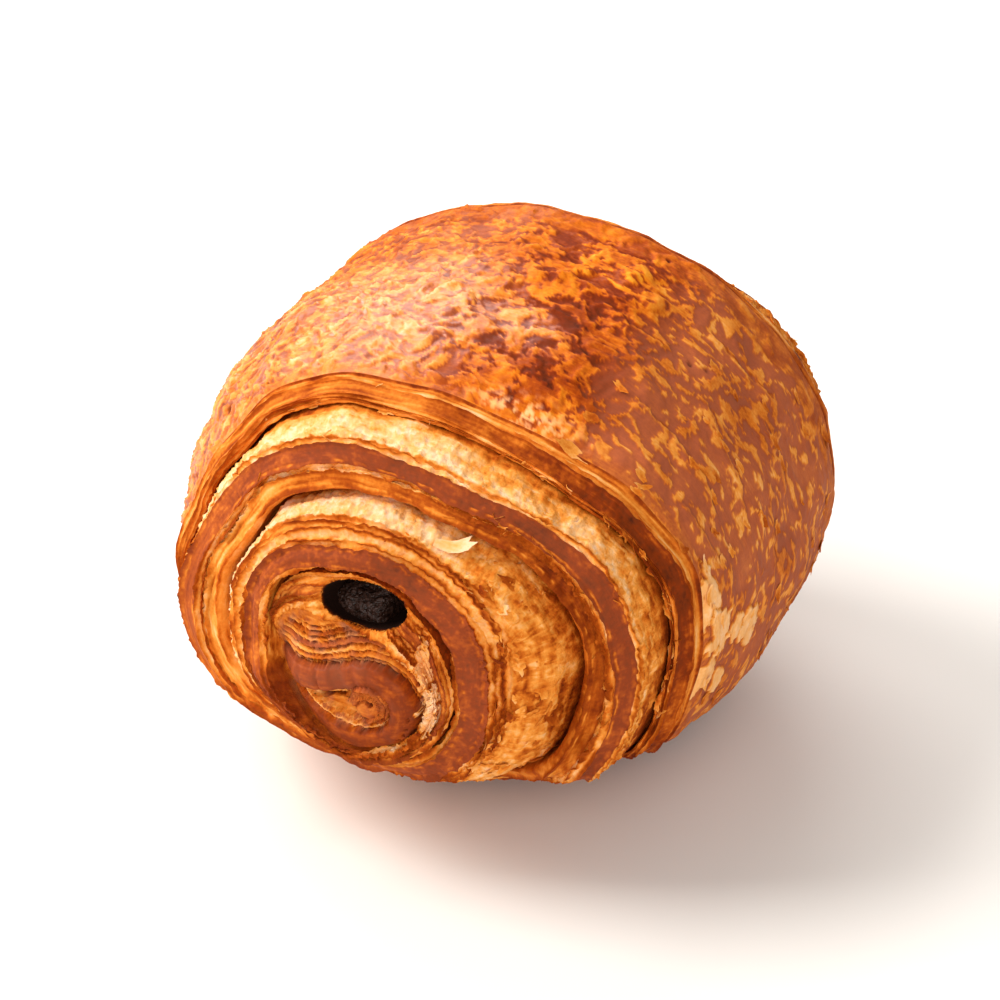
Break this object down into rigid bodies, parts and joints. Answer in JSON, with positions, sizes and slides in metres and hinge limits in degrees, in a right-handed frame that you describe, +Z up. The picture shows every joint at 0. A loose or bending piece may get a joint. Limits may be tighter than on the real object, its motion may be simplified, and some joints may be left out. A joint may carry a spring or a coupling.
{
  "type": "pain au chocolat",
  "caption": "Baked roll of laminated dough wound in a spiral round a dark chocolate baton that shows at its cut ends, with a browned crust, lying on its flat underside.",
  "frame": {"origin": "on the surface it lies on, under the middle of its box", "axes": "+Z up, +Y along the roll away from the cut end that the picture shows, +X to the right of someone who looks at that end"},
  "size_m": [0.08, 0.088, 0.0627],
  "materials": {
    "baked_dough": "browned, egg-washed crust with paler flaky layers at the cut ends",
    "dark_chocolate": "dark chocolate, softly glossy and crumbly at its ends"
  },
  "bodies": {
    "root": {"pastry": "baked_dough", "chocolate_baton": "dark_chocolate"}
  },
  "joints": []
}
